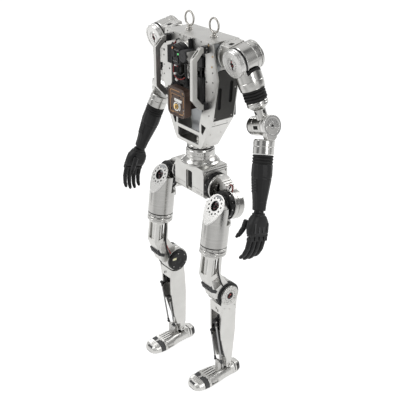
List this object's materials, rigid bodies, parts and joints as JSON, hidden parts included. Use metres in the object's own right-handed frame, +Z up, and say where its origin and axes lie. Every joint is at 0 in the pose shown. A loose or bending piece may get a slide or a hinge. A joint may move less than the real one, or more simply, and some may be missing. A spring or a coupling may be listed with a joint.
{
  "type": "humanoid robot kit",
  "caption": "Bare-frame humanoid robot with jointed arms and legs, hands, a turning waist, an open chest with grab handles, and lifting eyes on top.",
  "frame": {"origin": "on the ground at the centre of the robot's bounding box, between the feet", "axes": "+Z up, -Y the way the robot faces, +X the robot's left side"},
  "size_m": [0.715, 0.2218, 1.2812],
  "materials": {
    "satin_aluminium": "satin anodised",
    "brushed_aluminium": "turned and brushed",
    "dark_panel": "matte dark grey",
    "black_plastic": "matte",
    "black_rubber": "matte",
    "hand_plastic": "fine texture",
    "bronze_box": "satin brown",
    "gold_button": "polished",
    "eyebolt_steel": "bright"
  },
  "bodies": {
    "torso": {"front_frame": "satin_aluminium", "top_plate": "satin_aluminium", "back_cover": "satin_aluminium", "side_panel_left": "dark_panel", "side_panel_right": "dark_panel", "lower_shell": "satin_aluminium", "torso_spine": "satin_aluminium", "grab_handle_left": "satin_aluminium", "grab_handle_right": "satin_aluminium", "eyebolt_left": "eyebolt_steel", "eyebolt_right": "eyebolt_steel", "battery_pack": "black_plastic", "controller_unit": "dark_panel", "driver_module": "black_plastic", "control_box": "bronze_box"},
    "power_button_body": {"power_button": "gold_button"},
    "pelvis": {"waist_actuator": "brushed_aluminium", "pelvis_block": "satin_aluminium"},
    "hip_left": {"hip_bracket_left": "satin_aluminium"},
    "thigh_left": {"hip_roll_ring_left": "black_plastic", "thigh_housing_left": "brushed_aluminium"},
    "lower_thigh_left": {"thigh_link_left": "satin_aluminium", "knee_motor_cap_left": "black_plastic"},
    "lower_leg_left": {"shank_left": "satin_aluminium"},
    "upper_crank_left": {"ankle_crank_upper_left": "black_plastic"},
    "upper_rod_left": {"push_rod_upper_left": "black_plastic"},
    "lower_crank_left": {"ankle_crank_lower_left": "black_plastic"},
    "lower_rod_left": {"push_rod_lower_left": "black_plastic"},
    "ankle_left": {"ankle_cross_left": "satin_aluminium"},
    "foot_body_left": {"foot_left": "satin_aluminium"},
    "shoulder_left": {"shoulder_bracket_left": "satin_aluminium"},
    "upper_arm_body_left": {"upper_arm_left": "satin_aluminium"},
    "arm_left": {"arm_bellows_left": "black_rubber", "elbow_barrel_left": "satin_aluminium"},
    "forearm_base_left": {"forearm_barrel_left": "satin_aluminium"},
    "forearm_body_left": {"forearm_left": "hand_plastic"},
    "hand_left": {"palm_left": "hand_plastic"},
    "finger_set_left": {"fingers_left": "hand_plastic"},
    "thumb_body_left": {"thumb_left": "hand_plastic"},
    "hip_right": {"hip_bracket_right": "satin_aluminium"},
    "thigh_right": {"hip_roll_ring_right": "black_plastic", "thigh_housing_right": "brushed_aluminium"},
    "lower_thigh_right": {"thigh_link_right": "satin_aluminium", "knee_motor_cap_right": "black_plastic"},
    "lower_leg_right": {"shank_right": "satin_aluminium"},
    "upper_crank_right": {"ankle_crank_upper_right": "black_plastic"},
    "upper_rod_right": {"push_rod_upper_right": "black_plastic"},
    "lower_crank_right": {"ankle_crank_lower_right": "black_plastic"},
    "lower_rod_right": {"push_rod_lower_right": "black_plastic"},
    "ankle_right": {"ankle_cross_right": "satin_aluminium"},
    "foot_body_right": {"foot_right": "satin_aluminium"},
    "shoulder_right": {"shoulder_bracket_right": "satin_aluminium"},
    "upper_arm_body_right": {"upper_arm_right": "satin_aluminium"},
    "arm_right": {"arm_bellows_right": "black_rubber", "elbow_barrel_right": "satin_aluminium"},
    "forearm_base_right": {"forearm_barrel_right": "satin_aluminium"},
    "forearm_body_right": {"forearm_right": "hand_plastic"},
    "hand_right": {"palm_right": "hand_plastic"},
    "finger_set_right": {"fingers_right": "hand_plastic"},
    "thumb_body_right": {"thumb_right": "hand_plastic"}
  },
  "joints": [
    {"name": "power_button_press", "type": "slide", "parent": "torso", "child": "power_button_body", "axis": [0, 1, 0], "range_m": [0, 0.0025], "stiffness_N_per_m": 400, "springref_m": -0.0008},
    {"name": "waist_yaw", "type": "hinge", "parent": "torso", "child": "pelvis", "pos_m": [0, 0.039, 0.852], "axis": [0, 0, 1], "range_deg": [-60, 60]},
    {"name": "hip_pitch_left", "type": "hinge", "parent": "pelvis", "child": "hip_left", "pos_m": [0.09, 0.039, 0.734], "axis": [1, 0, 0], "range_deg": [-75, 25]},
    {"name": "hip_roll_left", "type": "hinge", "parent": "hip_left", "child": "thigh_left", "pos_m": [0.1557, -0.0222, 0.7061], "axis": [0, -0.9835, 0.1811], "range_deg": [-10, 25]},
    {"name": "thigh_yaw_left", "type": "hinge", "parent": "thigh_left", "child": "lower_thigh_left", "pos_m": [0.1529, -0.0247, 0.5537], "axis": [0, 0.122, 0.9925], "range_deg": [-30, 30]},
    {"name": "knee_left", "type": "hinge", "parent": "lower_thigh_left", "child": "lower_leg_left", "pos_m": [0.15, 0.022, 0.366], "axis": [1, 0, 0], "range_deg": [0, 90]},
    {"name": "ankle_pitch_left", "type": "hinge", "parent": "lower_leg_left", "child": "ankle_left", "pos_m": [0.14, 0.043, 0.052], "axis": [1, 0, 0], "range_deg": [-20, 20]},
    {"name": "ankle_roll_left", "type": "hinge", "parent": "ankle_left", "child": "foot_body_left", "pos_m": [0.14, 0.043, 0.052], "axis": [0, 1, 0], "range_deg": [-8, 8]},
    {"name": "upper_crank_turn_left", "type": "hinge", "parent": "lower_leg_left", "child": "upper_crank_left", "pos_m": [0.16, 0.009, 0.271], "axis": [1, 0, 0], "range_deg": [-35, 35]},
    {"name": "upper_rod_swing_left", "type": "hinge", "parent": "upper_crank_left", "child": "upper_rod_left", "pos_m": [0.16, -0.0197, 0.262], "axis": [1, 0, 0], "range_deg": [-40, 40]},
    {"name": "lower_crank_turn_left", "type": "hinge", "parent": "lower_leg_left", "child": "lower_crank_left", "pos_m": [0.131, 0.013, 0.214], "axis": [1, 0, 0], "range_deg": [-40, 40]},
    {"name": "lower_rod_swing_left", "type": "hinge", "parent": "lower_crank_left", "child": "lower_rod_left", "pos_m": [0.131, -0.0096, 0.2056], "axis": [1, 0, 0], "range_deg": [-45, 45]},
    {"name": "shoulder_pitch_left", "type": "hinge", "parent": "torso", "child": "shoulder_left", "pos_m": [0.12, 0.043, 1.182], "axis": [1, 0, 0], "range_deg": [-90, 45]},
    {"name": "shoulder_roll_left", "type": "hinge", "parent": "shoulder_left", "child": "upper_arm_body_left", "pos_m": [0.2012, 0.043, 1.1835], "axis": [0, -0.9722, -0.2341], "range_deg": [-6, 80]},
    {"name": "arm_yaw_left", "type": "hinge", "parent": "upper_arm_body_left", "child": "arm_left", "pos_m": [0.22666, 0.06064, 1.09793], "axis": [0.2798, 0.1939, -0.9403], "range_deg": [-45, 25]},
    {"name": "elbow_left", "type": "hinge", "parent": "arm_left", "child": "forearm_base_left", "pos_m": [0.26, 0.084, 0.985], "axis": [0.9598, -0.0333, 0.2787], "range_deg": [-90, 20]},
    {"name": "forearm_yaw_left", "type": "hinge", "parent": "forearm_base_left", "child": "forearm_body_left", "pos_m": [0.28552, 0.05863, 0.90538], "axis": [0.2428, -0.272, -0.9312], "range_deg": [-80, 80]},
    {"name": "wrist_left", "type": "hinge", "parent": "forearm_body_left", "child": "hand_left", "pos_m": [0.3276, 0.0115, 0.744], "axis": [0, -0.9637, 0.2669], "range_deg": [-25, 30]},
    {"name": "finger_curl_left", "type": "hinge", "parent": "hand_left", "child": "finger_set_left", "pos_m": [0.3463, -0.0103, 0.6653], "axis": [0, -0.9637, 0.2669], "range_deg": [-45, 10]},
    {"name": "thumb_curl_left", "type": "hinge", "parent": "hand_left", "child": "thumb_body_left", "pos_m": [0.30753, -0.0186, 0.71776], "axis": [0, -0.9637, 0.2669], "range_deg": [-25, 10]},
    {"name": "hip_pitch_right", "type": "hinge", "parent": "pelvis", "child": "hip_right", "pos_m": [-0.09, 0.039, 0.734], "axis": [1, 0, 0], "range_deg": [-75, 25]},
    {"name": "hip_roll_right", "type": "hinge", "parent": "hip_right", "child": "thigh_right", "pos_m": [-0.1557, -0.0222, 0.7061], "axis": [0, -0.9835, 0.1811], "range_deg": [-25, 10]},
    {"name": "thigh_yaw_right", "type": "hinge", "parent": "thigh_right", "child": "lower_thigh_right", "pos_m": [-0.1529, -0.0247, 0.5537], "axis": [0, 0.122, 0.9925], "range_deg": [-30, 30]},
    {"name": "knee_right", "type": "hinge", "parent": "lower_thigh_right", "child": "lower_leg_right", "pos_m": [-0.15, 0.022, 0.366], "axis": [1, 0, 0], "range_deg": [0, 90]},
    {"name": "ankle_pitch_right", "type": "hinge", "parent": "lower_leg_right", "child": "ankle_right", "pos_m": [-0.14, 0.043, 0.052], "axis": [1, 0, 0], "range_deg": [-20, 20]},
    {"name": "ankle_roll_right", "type": "hinge", "parent": "ankle_right", "child": "foot_body_right", "pos_m": [-0.14, 0.043, 0.052], "axis": [0, 1, 0], "range_deg": [-8, 8]},
    {"name": "upper_crank_turn_right", "type": "hinge", "parent": "lower_leg_right", "child": "upper_crank_right", "pos_m": [-0.16, 0.009, 0.271], "axis": [1, 0, 0], "range_deg": [-35, 35]},
    {"name": "upper_rod_swing_right", "type": "hinge", "parent": "upper_crank_right", "child": "upper_rod_right", "pos_m": [-0.16, -0.0197, 0.262], "axis": [1, 0, 0], "range_deg": [-40, 40]},
    {"name": "lower_crank_turn_right", "type": "hinge", "parent": "lower_leg_right", "child": "lower_crank_right", "pos_m": [-0.131, 0.013, 0.214], "axis": [1, 0, 0], "range_deg": [-40, 40]},
    {"name": "lower_rod_swing_right", "type": "hinge", "parent": "lower_crank_right", "child": "lower_rod_right", "pos_m": [-0.131, -0.0096, 0.2056], "axis": [1, 0, 0], "range_deg": [-45, 45]},
    {"name": "shoulder_pitch_right", "type": "hinge", "parent": "torso", "child": "shoulder_right", "pos_m": [-0.12, 0.043, 1.182], "axis": [1, 0, 0], "range_deg": [-90, 45]},
    {"name": "shoulder_roll_right", "type": "hinge", "parent": "shoulder_right", "child": "upper_arm_body_right", "pos_m": [-0.2012, 0.043, 1.1835], "axis": [0, -0.9722, -0.2341], "range_deg": [-80, 6]},
    {"name": "arm_yaw_right", "type": "hinge", "parent": "upper_arm_body_right", "child": "arm_right", "pos_m": [-0.22666, 0.06064, 1.09793], "axis": [-0.2798, 0.1939, -0.9403], "range_deg": [-25, 45]},
    {"name": "elbow_right", "type": "hinge", "parent": "arm_right", "child": "forearm_base_right", "pos_m": [-0.26, 0.084, 0.985], "axis": [0.9598, 0.0333, -0.2787], "range_deg": [-90, 20]},
    {"name": "forearm_yaw_right", "type": "hinge", "parent": "forearm_base_right", "child": "forearm_body_right", "pos_m": [-0.28552, 0.05863, 0.90538], "axis": [-0.2428, -0.272, -0.9312], "range_deg": [-80, 80]},
    {"name": "wrist_right", "type": "hinge", "parent": "forearm_body_right", "child": "hand_right", "pos_m": [-0.3276, 0.0115, 0.744], "axis": [0, -0.9637, 0.2669], "range_deg": [-30, 25]},
    {"name": "finger_curl_right", "type": "hinge", "parent": "hand_right", "child": "finger_set_right", "pos_m": [-0.3463, -0.0103, 0.6653], "axis": [0, -0.9637, 0.2669], "range_deg": [-10, 45]},
    {"name": "thumb_curl_right", "type": "hinge", "parent": "hand_right", "child": "thumb_body_right", "pos_m": [-0.30753, -0.0186, 0.71776], "axis": [0, -0.9637, 0.2669], "range_deg": [-10, 25]}
  ],
  "couplings": [
    {"joint": "upper_crank_turn_left", "follows": "ankle_pitch_left", "ratio": 1.2},
    {"joint": "upper_rod_swing_left", "follows": "ankle_pitch_left", "ratio": -1.3},
    {"joint": "lower_crank_turn_left", "follows": "ankle_pitch_left", "ratio": 1.5},
    {"joint": "lower_rod_swing_left", "follows": "ankle_pitch_left", "ratio": -1.6},
    {"joint": "upper_crank_turn_right", "follows": "ankle_pitch_right", "ratio": 1.2},
    {"joint": "upper_rod_swing_right", "follows": "ankle_pitch_right", "ratio": -1.3},
    {"joint": "lower_crank_turn_right", "follows": "ankle_pitch_right", "ratio": 1.5},
    {"joint": "lower_rod_swing_right", "follows": "ankle_pitch_right", "ratio": -1.6}
  ]
}
